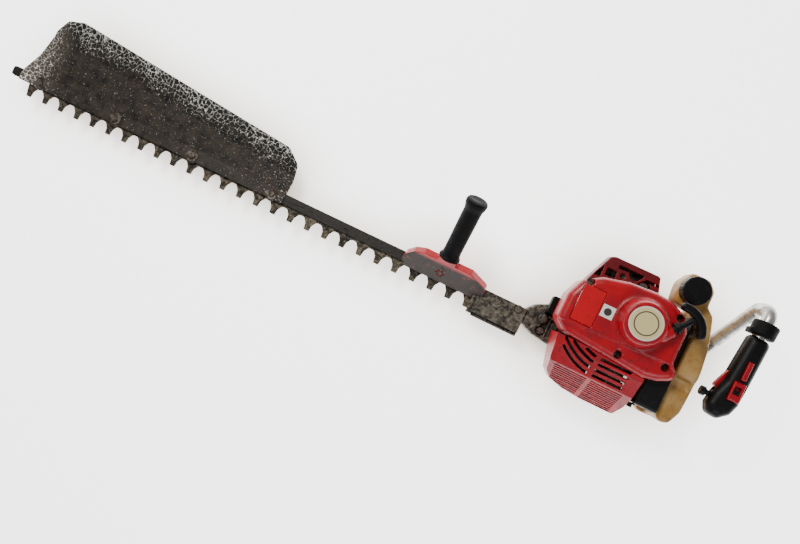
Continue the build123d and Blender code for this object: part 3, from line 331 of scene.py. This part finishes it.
def scuffed_sheet(name):
    """Steel sheet in chipped charcoal paint: the rim and the far end are worn to bare metal in
    branching chips, lower down the paint is brown with dried sap."""
    material, tree, mm = begin(name)
    split = add(tree, "ShaderNodeSeparateXYZ", {0: mm})
    slope = add(
        tree,
        "ShaderNodeMath",
        {0: split.outputs["X"], 1: 0.098, 2: split.outputs["Y"]},
        operation="MULTIPLY_ADD",
    )
    cloud = add(tree, "ShaderNodeTexNoise", {"Vector": mm, "Scale": 1 / 60, "Detail": 6})
    edge = add(
        tree,
        "ShaderNodeMath",
        {0: cloud.outputs[0], 1: 60, 2: slope.outputs[0]},
        operation="MULTIPLY_ADD",
    )
    # 1 at the outer rim, 0 some 60 mm inside it
    rim = add(tree, "ShaderNodeMapRange", {0: edge.outputs[0], 1: -58.0, 2: 0.0})
    tip = add(tree, "ShaderNodeMapRange", {0: split.outputs["X"], 1: -1120.0, 2: -1195.0})
    heel = add(tree, "ShaderNodeMapRange", {0: split.outputs["X"], 1: -720.0, 2: -600.0, 4: 0.35})
    worn = add(
        tree,
        "ShaderNodeMath",
        {0: rim.outputs[0], 1: tip.outputs[0]},
        operation="MAXIMUM",
    )
    worn_more = add(
        tree,
        "ShaderNodeMath",
        {0: worn.outputs[0], 1: heel.outputs[0]},
        operation="MAXIMUM",
    )
    # branching chips: ridges between cells some 5 to 9 mm across
    warp = add(tree, "ShaderNodeTexNoise", {"Vector": mm, "Scale": 1 / 7, "Detail": 4})
    bent = add(
        tree,
        "ShaderNodeVectorMath",
        {0: warp.outputs["Color"], 1: (9, 9, 9), 2: mm},
        operation="MULTIPLY_ADD",
    )
    cells = add(
        tree,
        "ShaderNodeTexVoronoi",
        {"Vector": bent.outputs[0], "Scale": 1 / 8},
        feature="DISTANCE_TO_EDGE",
    )
    flakes = add(
        tree,
        "ShaderNodeTexNoise",
        {"Vector": mm, "Scale": 1 / 3.2, "Detail": 7, "Roughness": 0.75},
    )
    thin = add(
        tree,
        "ShaderNodeMapRange",
        {0: cells.outputs["Distance"], 1: 0.11, 2: 0.0, 3: 0.0, 4: 0.42},
    )
    chance = add(
        tree,
        "ShaderNodeMath",
        {0: flakes.outputs[0], 1: thin.outputs[0]},
        operation="ADD",
    )
    pushed = add(
        tree,
        "ShaderNodeMath",
        {0: worn_more.outputs[0], 1: 0.28, 2: chance.outputs[0]},
        operation="MULTIPLY_ADD",
    )
    bare = add(tree, "ShaderNodeMapRange", {0: pushed.outputs[0], 1: 0.955, 2: 1.0})
    # long straight scratches at two angles
    scratch_masks = []
    for angle, gap_mm in ((0.42, 5), (-0.6, 7)):
        lines = add(
            tree,
            "ShaderNodeMapping",
            {"Vector": mm, "Rotation": (0, 0, angle), "Scale": (0.02, 1 / gap_mm, 1)},
        )
        fine = add(tree, "ShaderNodeTexNoise", {"Vector": lines.outputs[0], "Scale": 2.2, "Detail": 4})
        mask = add(tree, "ShaderNodeMapRange", {0: fine.outputs[0], 1: 0.71, 2: 0.78, 4: 0.3})
        scratch_masks.append(mask)
    scratch = add(
        tree,
        "ShaderNodeMath",
        {0: scratch_masks[0].outputs[0], 1: scratch_masks[1].outputs[0]},
        operation="MAXIMUM",
    )
    metal_share = add(
        tree,
        "ShaderNodeMath",
        {0: bare.outputs[0], 1: scratch.outputs[0]},
        operation="MAXIMUM",
    )
    mottle = add(
        tree,
        "ShaderNodeTexNoise",
        {"Vector": mm, "Scale": 1 / 17, "Detail": 9, "Roughness": 0.7},
    )
    tone = add(tree, "ShaderNodeMapRange", {0: mottle.outputs[0], 1: 0.35, 2: 0.68})
    paint = add(
        tree,
        "ShaderNodeMix",
        {0: tone.outputs[0], 6: linear("#0d0c0b"), 7: linear("#40372d")},
        data_type="RGBA",
    )
    green_grey = add(
        tree,
        "ShaderNodeMix",
        {0: rim.outputs[0], 6: paint.outputs[2], 7: linear("#1b1e1a")},
        data_type="RGBA",
    )
    dusty = add(
        tree,
        "ShaderNodeMapRange",
        {0: tip.outputs[0], 1: 0.0, 2: 1.0, 3: 0.0, 4: 0.75},
    )
    chalky = add(
        tree,
        "ShaderNodeMix",
        {0: dusty.outputs[0], 6: green_grey.outputs[2], 7: linear("#746c60")},
        data_type="RGBA",
    )
    colour = add(
        tree,
        "ShaderNodeMix",
        {0: metal_share.outputs[0], 6: chalky.outputs[2], 7: linear("#f7f5ef")},
        data_type="RGBA",
    )
    matt = add(tree, "ShaderNodeMapRange", {0: tone.outputs[0], 3: 0.42, 4: 0.66})
    relief = add(
        tree,
        "ShaderNodeMath",
        {0: metal_share.outputs[0], 1: -0.6, 2: mottle.outputs[0]},
        operation="MULTIPLY_ADD",
    )
    finish_surface(tree, colour.outputs[2], matt.outputs[0], relief.outputs[0], 0.3, 0.25)
    return material


def stained_guard(name):
    """Moulded red nylon whose leaning face is caked in grey-brown sap; its rim is rubbed clean."""
    material, tree, mm = begin(name)
    # distance along the face's own normal
    lean = add(
        tree,
        "ShaderNodeVectorMath",
        {0: mm, 1: (0, -math.sin(GUARD_LEAN), math.cos(GUARD_LEAN))},
        operation="DOT_PRODUCT",
    )
    cake = add(
        tree,
        "ShaderNodeTexNoise",
        {"Vector": mm, "Scale": 1 / 12, "Detail": 9, "Roughness": 0.7, "Distortion": 0.7},
    )
    # 0 behind the face, 1 just under its skin
    depth = add(
        tree,
        "ShaderNodeMapRange",
        {0: lean.outputs["Value"], 1: GUARD_PLANE - 1.5, 2: GUARD_PLANE - 0.4},
    )
    split = add(tree, "ShaderNodeSeparateXYZ", {0: mm})
    height = add(tree, "ShaderNodeMapRange", {0: split.outputs["Z"], 1: 83.5, 2: 78.0})
    patchy = add(tree, "ShaderNodeMapRange", {0: cake.outputs[0], 1: 0.74, 2: 0.60})
    face = add(
        tree,
        "ShaderNodeMath",
        {0: depth.outputs[0], 1: height.outputs[0]},
        operation="MULTIPLY",
    )
    caked = add(
        tree,
        "ShaderNodeMath",
        {0: face.outputs[0], 1: patchy.outputs[0]},
        operation="MULTIPLY",
    )
    smears = add(tree, "ShaderNodeMapRange", {0: cake.outputs[0], 1: 0.5, 2: 0.8, 4: 0.55})
    share = add(
        tree,
        "ShaderNodeMath",
        {0: caked.outputs[0], 1: smears.outputs[0]},
        operation="MAXIMUM",
    )
    tone = add(
        tree,
        "ShaderNodeMix",
        {0: cake.outputs[0], 6: linear("#1f1b19"), 7: linear("#4a403a")},
        data_type="RGBA",
    )
    colour = add(
        tree,
        "ShaderNodeMix",
        {0: share.outputs[0], 6: linear("#b80a1a"), 7: tone.outputs[2]},
        data_type="RGBA",
    )
    matt = add(tree, "ShaderNodeMapRange", {0: share.outputs[0], 3: 0.34, 4: 0.75})
    finish_surface(tree, colour.outputs[2], matt.outputs[0], cake.outputs[0], 0.3)
    return material


def grip_rubber(name, black, dust, pitch_mm):
    """Moulded nitrile rubber: matt black, with dry dust in a fine leather-like grain."""
    material, tree, mm = begin(name)
    grain = add(
        tree,
        "ShaderNodeTexVoronoi",
        {"Vector": mm, "Scale": 1 / pitch_mm},
        feature="SMOOTH_F1",
    )
    cloud = add(tree, "ShaderNodeTexNoise", {"Vector": mm, "Scale": 1 / 14, "Detail": 7, "Roughness": 0.7})
    film = add(tree, "ShaderNodeMapRange", {0: cloud.outputs[0], 1: 0.5, 2: 0.85, 4: 0.55})
    colour = add(
        tree,
        "ShaderNodeMix",
        {0: film.outputs[0], 6: linear(black), 7: linear(dust)},
        data_type="RGBA",
    )
    matt = add(tree, "ShaderNodeMapRange", {0: cloud.outputs[0], 1: 0.3, 2: 0.7, 3: 0.55, 4: 0.8})
    finish_surface(
        tree, colour.outputs[2], matt.outputs[0], grain.outputs["Distance"], 0.15, 0.0, 0.18
    )
    return material


def drawn_tube(name):
    """Drawn aluminium tube: bright, drawn along its length, with grey oxide and oily thumb marks."""
    material, tree, mm = begin(name)
    streak = add(tree, "ShaderNodeTexNoise", {"Vector": mm, "Scale": 1 / 1.8, "Detail": 3})
    smear = add(
        tree,
        "ShaderNodeTexNoise",
        {"Vector": mm, "Scale": 1 / 13, "Detail": 7, "Roughness": 0.66, "Distortion": 0.8},
    )
    film = add(tree, "ShaderNodeMapRange", {0: smear.outputs[0], 1: 0.42, 2: 0.72})
    colour = add(
        tree,
        "ShaderNodeMix",
        {0: film.outputs[0], 6: linear("#cfcdc9"), 7: linear("#7d766c")},
        data_type="RGBA",
    )
    matt = add(tree, "ShaderNodeMapRange", {0: film.outputs[0], 3: 0.3, 4: 0.58})
    finish_surface(tree, colour.outputs[2], matt.outputs[0], streak.outputs[0], 0.04, 0.85)
    return material


def badge_vinyl(name):
    """Printed vinyl: a plain buff disc with one thin grey ring, and a plain pale square with a
    grey dot. Both are generic fields without any mark, smooth and slightly glossy, rubbed dirty."""
    material, tree, mm = begin(name)
    split = add(tree, "ShaderNodeSeparateXYZ", {0: mm})
    flat = add(tree, "ShaderNodeCombineXYZ", {"X": split.outputs["X"], "Y": split.outputs["Y"]})
    radius = add(tree, "ShaderNodeVectorMath", {0: flat.outputs[0]}, operation="LENGTH")
    rim = add(tree, "ShaderNodeMapRange", {0: radius.outputs["Value"], 1: 23.6, 2: 23.9})
    inner = add(tree, "ShaderNodeMapRange", {0: radius.outputs["Value"], 1: 16.8, 2: 17.1})
    outer = add(tree, "ShaderNodeMapRange", {0: radius.outputs["Value"], 1: 19.1, 2: 18.8})
    ring_share = add(
        tree,
        "ShaderNodeMath",
        {0: inner.outputs[0], 1: outer.outputs[0]},
        operation="MULTIPLY",
    )
    field = add(
        tree,
        "ShaderNodeMix",
        {0: ring_share.outputs[0], 6: linear("#d9c98f"), 7: linear("#4a4440")},
        data_type="RGBA",
    )
    roundel = add(
        tree,
        "ShaderNodeMix",
        {0: rim.outputs[0], 6: field.outputs[2], 7: linear("#dcd6c8")},
        data_type="RGBA",
    )
    centre = add(
        tree,
        "ShaderNodeVectorMath",
        {0: flat.outputs[0], 1: (53.75, 7.0, 0)},
        operation="ADD",
    )
    ring = add(tree, "ShaderNodeVectorMath", {0: centre.outputs[0]}, operation="LENGTH")
    dot = add(tree, "ShaderNodeMapRange", {0: ring.outputs["Value"], 1: 6.3, 2: 6.0})
    square = add(
        tree,
        "ShaderNodeMix",
        {0: dot.outputs[0], 6: linear("#e8e6e1"), 7: linear("#35322f")},
        data_type="RGBA",
    )
    which = add(
        tree,
        "ShaderNodeMath",
        {0: split.outputs["X"], 1: -40.0},
        operation="LESS_THAN",
    )
    printed = add(
        tree,
        "ShaderNodeMix",
        {0: which.outputs[0], 6: roundel.outputs[2], 7: square.outputs[2]},
        data_type="RGBA",
    )
    dirt = add(
        tree,
        "ShaderNodeTexNoise",
        {"Vector": mm, "Scale": 1 / 5, "Detail": 9, "Roughness": 0.75},
    )
    rub = add(tree, "ShaderNodeMapRange", {0: dirt.outputs[0], 1: 0.58, 2: 0.75, 4: 0.7})
    colour = add(
        tree,
        "ShaderNodeMix",
        {0: rub.outputs[0], 6: printed.outputs[2], 7: linear("#6b5540")},
        data_type="RGBA",
    )
    matt = add(tree, "ShaderNodeMapRange", {0: dirt.outputs[0], 3: 0.28, 4: 0.55})
    finish_surface(tree, colour.outputs[2], matt.outputs[0], dirt.outputs[0], 0.05)
    return material


def braided_rope(name):
    """Braided nylon starter rope: diagonal plait 1.5 mm wide, greyed by oil."""
    material, tree, mm = begin(name)
    plait = add(
        tree,
        "ShaderNodeTexWave",
        {"Vector": mm, "Scale": 0.45, "Distortion": 1.5, "Detail": 2},
        bands_direction="DIAGONAL",
    )
    colour = add(
        tree,
        "ShaderNodeMix",
        {0: plait.outputs[1], 6: linear("#8f8a80"), 7: linear("#d9d5ca")},
        data_type="RGBA",
    )
    finish_surface(tree, colour.outputs[2], 0.75, plait.outputs[1], 0.3)
    return material


def open_foam(name):
    """Open-cell polyurethane foam: dark cells half a millimetre across, drawn at 1.2 mm to show."""
    material, tree, mm = begin(name)
    cells = add(tree, "ShaderNodeTexVoronoi", {"Vector": mm, "Scale": 1 / 1.2})
    colour = add(
        tree,
        "ShaderNodeMix",
        {0: cells.outputs["Distance"], 6: linear("#1c1b19"), 7: linear("#4a4740")},
        data_type="RGBA",
    )
    finish_surface(tree, colour.outputs[2], 0.95, cells.outputs["Distance"], 0.8)
    return material


def glazed_ceramic(name):
    """Glazed alumina of the plug, with its plated shell: white, glossy, faintly stained."""
    material, tree, mm = begin(name)
    stain = add(tree, "ShaderNodeTexNoise", {"Vector": mm, "Scale": 1 / 4, "Detail": 5})
    tone = add(tree, "ShaderNodeMapRange", {0: stain.outputs[0], 1: 0.5, 2: 0.75})
    colour = add(
        tree,
        "ShaderNodeMix",
        {0: tone.outputs[0], 6: linear("#e8e4da"), 7: linear("#9a8a70")},
        data_type="RGBA",
    )
    finish_surface(tree, colour.outputs[2], 0.22, stain.outputs[0], 0.03)
    return material


# Finishes, one to each of the record's material slots

finishes = {
    "red_plastic": moulded_plastic(
        "moulded_red_nylon", "#b00417", "#970d1e", "#1d080b", 0.3, 0.85
    ),
    "dark_red_plastic": moulded_plastic(
        "sooty_red_nylon", "#7c0616", "#640d1a", "#1e090c", 0.38, 0.7
    ),
    "black_plastic": moulded_plastic(
        "moulded_black_nylon", "#050506", "#0a0a0b", "#231f1c", 0.45, 0.35, glare=0.22
    ),
    "black_rubber": grip_rubber("nitrile_rubber", "#040405", "#121110", 1.3),
    "tan_plastic": moulded_plastic(
        "blow_moulded_polyethylene", "#a07636", "#b5915a", "#46331a", 0.4, 0.6, 1.4, 10
    ),
    "cast_aluminium": cast_metal(
        "die_cast_aluminium", "#8a8375", "#3b362e", "#161310", 0.47, 0.42, 0.75
    ),
    "tube_aluminium": drawn_tube("drawn_aluminium"),
    "cutter_steel": cast_metal(
        "tool_steel_with_sap", "#857b69", "#332d25", "#14110e", 0.46, 0.38, 0.7, 0.9
    ),
    "dark_steel": cast_metal(
        "blackened_steel", "#2b2723", "#171513", "#0b0a09", 0.55, 0.5, 0.3
    ),
    "bright_steel": machined_steel(
        "ground_steel", "#c2c0bb", "#8f8c86", "#5a4632", (1, 1, 0.08), 0.3
    ),
    "fixing_steel": machined_steel(
        "zinc_plated_steel", "#8d887e", "#5b564e", "#33261c", (1, 1, 0.3), 0.42, 0.5
    ),
    "cast_iron_dark": cast_metal(
        "sand_cast_iron", "#57534d", "#3a3733", "#24201d", 0.6, 0.6, 0.6
    ),
    "label_vinyl": badge_vinyl("printed_vinyl"),
    "white_ceramic": glazed_ceramic("glazed_alumina"),
    "filter_foam": open_foam("oiled_filter_foam"),
    "rope_nylon": braided_rope("braided_nylon"),
}
panel_red = moulded_plastic(
    "unfaded_red_nylon", "#c40618", "#b70d1d", "#400c11", 0.3, 0.35
)
guard_red = stained_guard("sap_stained_red_nylon")
sweeper_paint = scuffed_sheet("chipped_charcoal_paint")

slot_of = {}
for part in frame["record"]["subparts"]:
    slot_of[part["node"]] = part["material_slot"]


def dress(piece, material):
    """Gives a piece one material and soft shading over its gentle edges."""
    piece.data.materials.clear()
    piece.data.materials.append(material)
    piece.data.shade_smooth()
    piece.data.set_sharp_from_angle(angle=math.radians(32))


for node_name, node_object in nodes.items():
    dress(node_object, finishes[slot_of[node_name]])
dress(nodes["sweeper_plate"], sweeper_paint)
dress(nodes["top_panel"], panel_red)


# Worn mouldings and castings, grown over their CAD solids


def worn_copy(name, source, body, voxel_mm, passes, material=None):
    """Piece in place of a CAD node: the same solid with its edges rounded as in a real moulding."""
    piece = bpy.data.objects.new(name, nodes[source].data.copy())
    scene.collection.objects.link(piece)
    grid = piece.modifiers.new("grid", "REMESH")
    grid.mode = "VOXEL"
    grid.voxel_size = voxel_mm * MM
    soften = piece.modifiers.new("soften", "SMOOTH")
    soften.factor = 0.5
    soften.iterations = passes
    graph = bpy.context.evaluated_depsgraph_get()
    solid = bpy.data.meshes.new_from_object(piece.evaluated_get(graph))
    piece.modifiers.clear()
    piece.data = solid
    solid.name = name
    solid.materials.clear()
    solid.materials.append(material or finishes[slot_of[source]])
    solid.shade_smooth()
    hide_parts(source)
    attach(piece, body)
    return piece


def points_of(mesh):
    """The mesh's points in millimetres, one row each."""
    found = np.zeros(len(mesh.vertices) * 3)
    mesh.vertices.foreach_get("co", found)
    return found.reshape(-1, 3) / MM


def move_points(mesh, points):
    """Puts the mesh's points at new places, given in millimetres."""
    mesh.vertices.foreach_set("co", (points * MM).ravel())
    mesh.update()


def relax(mesh, weight, passes):
    """Blends corners into each other: each point drifts to the middle of its neighbours."""
    ends = np.zeros(len(mesh.edges) * 2, np.int64)
    mesh.edges.foreach_get("vertices", ends)
    ends = ends.reshape(-1, 2)
    points = points_of(mesh)
    live = weight > 0.001
    ends = ends[live[ends[:, 0]] | live[ends[:, 1]]]
    one, two = ends[:, 0], ends[:, 1]
    count = np.bincount(one, minlength=len(points)) + np.bincount(two, minlength=len(points))
    count = np.maximum(count, 1)
    for _ in range(passes):
        for axis in range(3):
            column = points[:, axis]
            total = np.bincount(one, weights=column[two], minlength=len(points))
            total += np.bincount(two, weights=column[one], minlength=len(points))
            points[:, axis] = column + 0.5 * weight * np.where(live, total / count - column, 0)
    move_points(mesh, points)


def smooth_step(value, low, high):
    """0 below low, 1 above high, and a smooth rise between."""
    share = np.clip((value - low) / (high - low), 0, 1)
    return share * share * (3 - 2 * share)


fine_voxel = 0.8
housing = worn_copy("starter_housing", "starter_cover", "frame", fine_voxel, 5)
spots = points_of(housing.data)
reach = np.hypot(spots[:, 0], spots[:, 1])
near_foot = smooth_step(reach, *DOME_FOOT[:2]) * (1 - smooth_step(reach, *DOME_FOOT[2:]))
near_foot = near_foot * smooth_step(spots[:, 2], *DOME_FOOT_HEIGHT)
relax(housing.data, near_foot, 110)

# The housing's front half steps down along a crease
spots = points_of(housing.data)
facing = np.zeros(len(housing.data.vertices) * 3)
housing.data.vertex_normals.foreach_get("vector", facing)
facing = facing.reshape(-1, 3)
crease_y = CREASE_Y + (spots[:, 0] + CREASE_X) * CREASE_SLOPE
ahead = smooth_step(crease_y - spots[:, 1], 0, 2.4)
outer_skin = smooth_step(facing[:, 2], 0.25, 0.6) * smooth_step(spots[:, 2], 128, 132)
spots[:, 2] -= CREASE_STEP * ahead * outer_skin
move_points(housing.data, spots)

worn_copy("cylinder_housing", "cylinder_cover", "frame", fine_voxel * 0.7, 1)
worn_copy("slotted_skirt", "lower_shroud", "frame", fine_voxel, 3)
worn_copy("hand_guard", "front_guard", "frame", fine_voxel * 0.8, 4, guard_red)
tank = worn_copy("tank_body", "fuel_tank", "frame", fine_voxel * 1.7, 2)
spots = points_of(tank.data)
from_neck = np.hypot(spots[:, 0] - NECK_X, spots[:, 1] - NECK_Y)
relax(tank.data, smooth_step(from_neck, 16, 26), 45)
# name, node, body, voxel as a share of the finest, smoothing passes
SOFTENED = (
    ("cap_of_tank", "fuel_cap", "cap", 0.7, 4),
    ("pull_handle", "starter_handle", "starter_grip", 0.6, 6),
    ("front_sleeve", "front_grip", "frame", 0.8, 4),
    ("rear_grip_top", "grip_upper", "frame", 0.8, 5),
    ("rear_grip_base", "grip_lower", "frame", 0.8, 5),
    ("collar_of_rear_grip", "grip_collar", "frame", 0.8, 5),
    ("cast_gear_case", "gear_case_upper", "frame", 1.2, 4),
    ("cast_gear_base", "gear_case_lower", "frame", 1.2, 3),
    ("cast_clutch_case", "clutch_case", "frame", 1.2, 4),
    ("cast_blade_cover", "blade_cover", "frame", 0.8, 4),
    ("filter_housing", "air_cleaner_cover", "frame", 1, 4),
)
for piece_name, node, body, share, passes in SOFTENED:
    worn_copy(piece_name, node, body, fine_voxel * share, passes)


# Starter rope


def starter_rope():
    """A short braided length from the housing's collar to the knot in the pull handle."""
    collar = ROPE_EXIT - ROPE_PULL * 8
    knot = ROPE_EXIT + ROPE_PULL * 12
    curve = bpy.data.curves.new("starter_rope", "CURVE")
    curve.dimensions = "3D"
    curve.bevel_depth = ROPE_RADIUS * MM
    curve.bevel_resolution = 5
    line = curve.splines.new("POLY")
    line.points.add(24)
    for place, point in enumerate(line.points):
        point.co = (*(collar.lerp(knot, place / 24) * MM), 1)
    source = bpy.data.objects.new("rope_line", curve)
    scene.collection.objects.link(source)
    graph = bpy.context.evaluated_depsgraph_get()
    mesh = bpy.data.meshes.new_from_object(source.evaluated_get(graph))
    bpy.data.objects.remove(source)
    rope = bpy.data.objects.new("starter_rope", mesh)
    scene.collection.objects.link(rope)
    mesh.materials.clear()
    mesh.materials.append(finishes["rope_nylon"])
    mesh.shade_smooth()
    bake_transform(rope)


starter_rope()


# Floor and soft light: pale paint that glows a little, a painted light; the glow dims and turns warm near
# the machine as a painted shadow

floor_mesh = bpy.data.meshes.new("floor")
shape = bmesh.new()
bmesh.ops.create_grid(shape, x_segments=1, y_segments=1, size=6)
shape.to_mesh(floor_mesh)
shape.free()
floor = bpy.data.objects.new("floor", floor_mesh)
scene.collection.objects.link(floor)
floor.location = (0, 0, cad_box[0].z - 0.0005)
floor_paint = bpy.data.materials.new("pale_floor_paint")
floor_paint.use_nodes = True
floor_tree = floor_paint.node_tree
floor_tree.nodes.clear()
matt_white = add(floor_tree, "ShaderNodeBsdfDiffuse", {"Color": linear("#f6f5f3")})
# painted shadow: ambient occlusion dims the floor's glow and tints it warm beside and under the machine
occlusion_shade = add(floor_tree, "ShaderNodeAmbientOcclusion", {"Distance": 0.11}, samples=12)
open_floor = add(floor_tree, "ShaderNodeMapRange", {0: occlusion_shade.outputs["AO"], 1: 0.08, 4: 3.2})
painted_shadow_tint = add(
    floor_tree,
    "ShaderNodeMix",
    {0: occlusion_shade.outputs["AO"], 6: linear("#e8c9a4"), 7: linear("#ffffff")},
    data_type="RGBA",
)
lift = add(
    floor_tree, "ShaderNodeEmission", {"Color": painted_shadow_tint.outputs[2], "Strength": open_floor.outputs[0]}
)
both = add(floor_tree, "ShaderNodeAddShader", {0: matt_white.outputs[0], 1: lift.outputs[0]})
add(floor_tree, "ShaderNodeOutputMaterial", {"Surface": both.outputs[0]})
floor_mesh.materials.append(floor_paint)

sky = bpy.data.worlds.new("studio")
scene.world = sky
sky.use_nodes = True
sky.node_tree.nodes["Background"].inputs["Color"].default_value = linear("#f4f6fa")
sky.node_tree.nodes["Background"].inputs["Strength"].default_value = 0.3


def soft_light(name, place, target, width, power, tint):
    """Square studio softbox that faces a point."""
    data = bpy.data.lights.new(name, "AREA")
    data.shape = "SQUARE"
    data.size = width
    data.energy = power
    data.color = linear(tint)[:3]
    box = bpy.data.objects.new(name, data)
    scene.collection.objects.link(box)
    box.location = place
    facing = Vector(target) - Vector(place)
    box.rotation_euler = facing.to_track_quat("-Z", "Y").to_euler()


soft_light("key", (-1.1, 0.8, 1.7), (-0.2, 0, 0), 0.6, 32, "#fffaf2")
soft_light("window", (0.7, -1.0, 1.5), (0, 0, 0), 0.5, 9, "#f6f8ff")
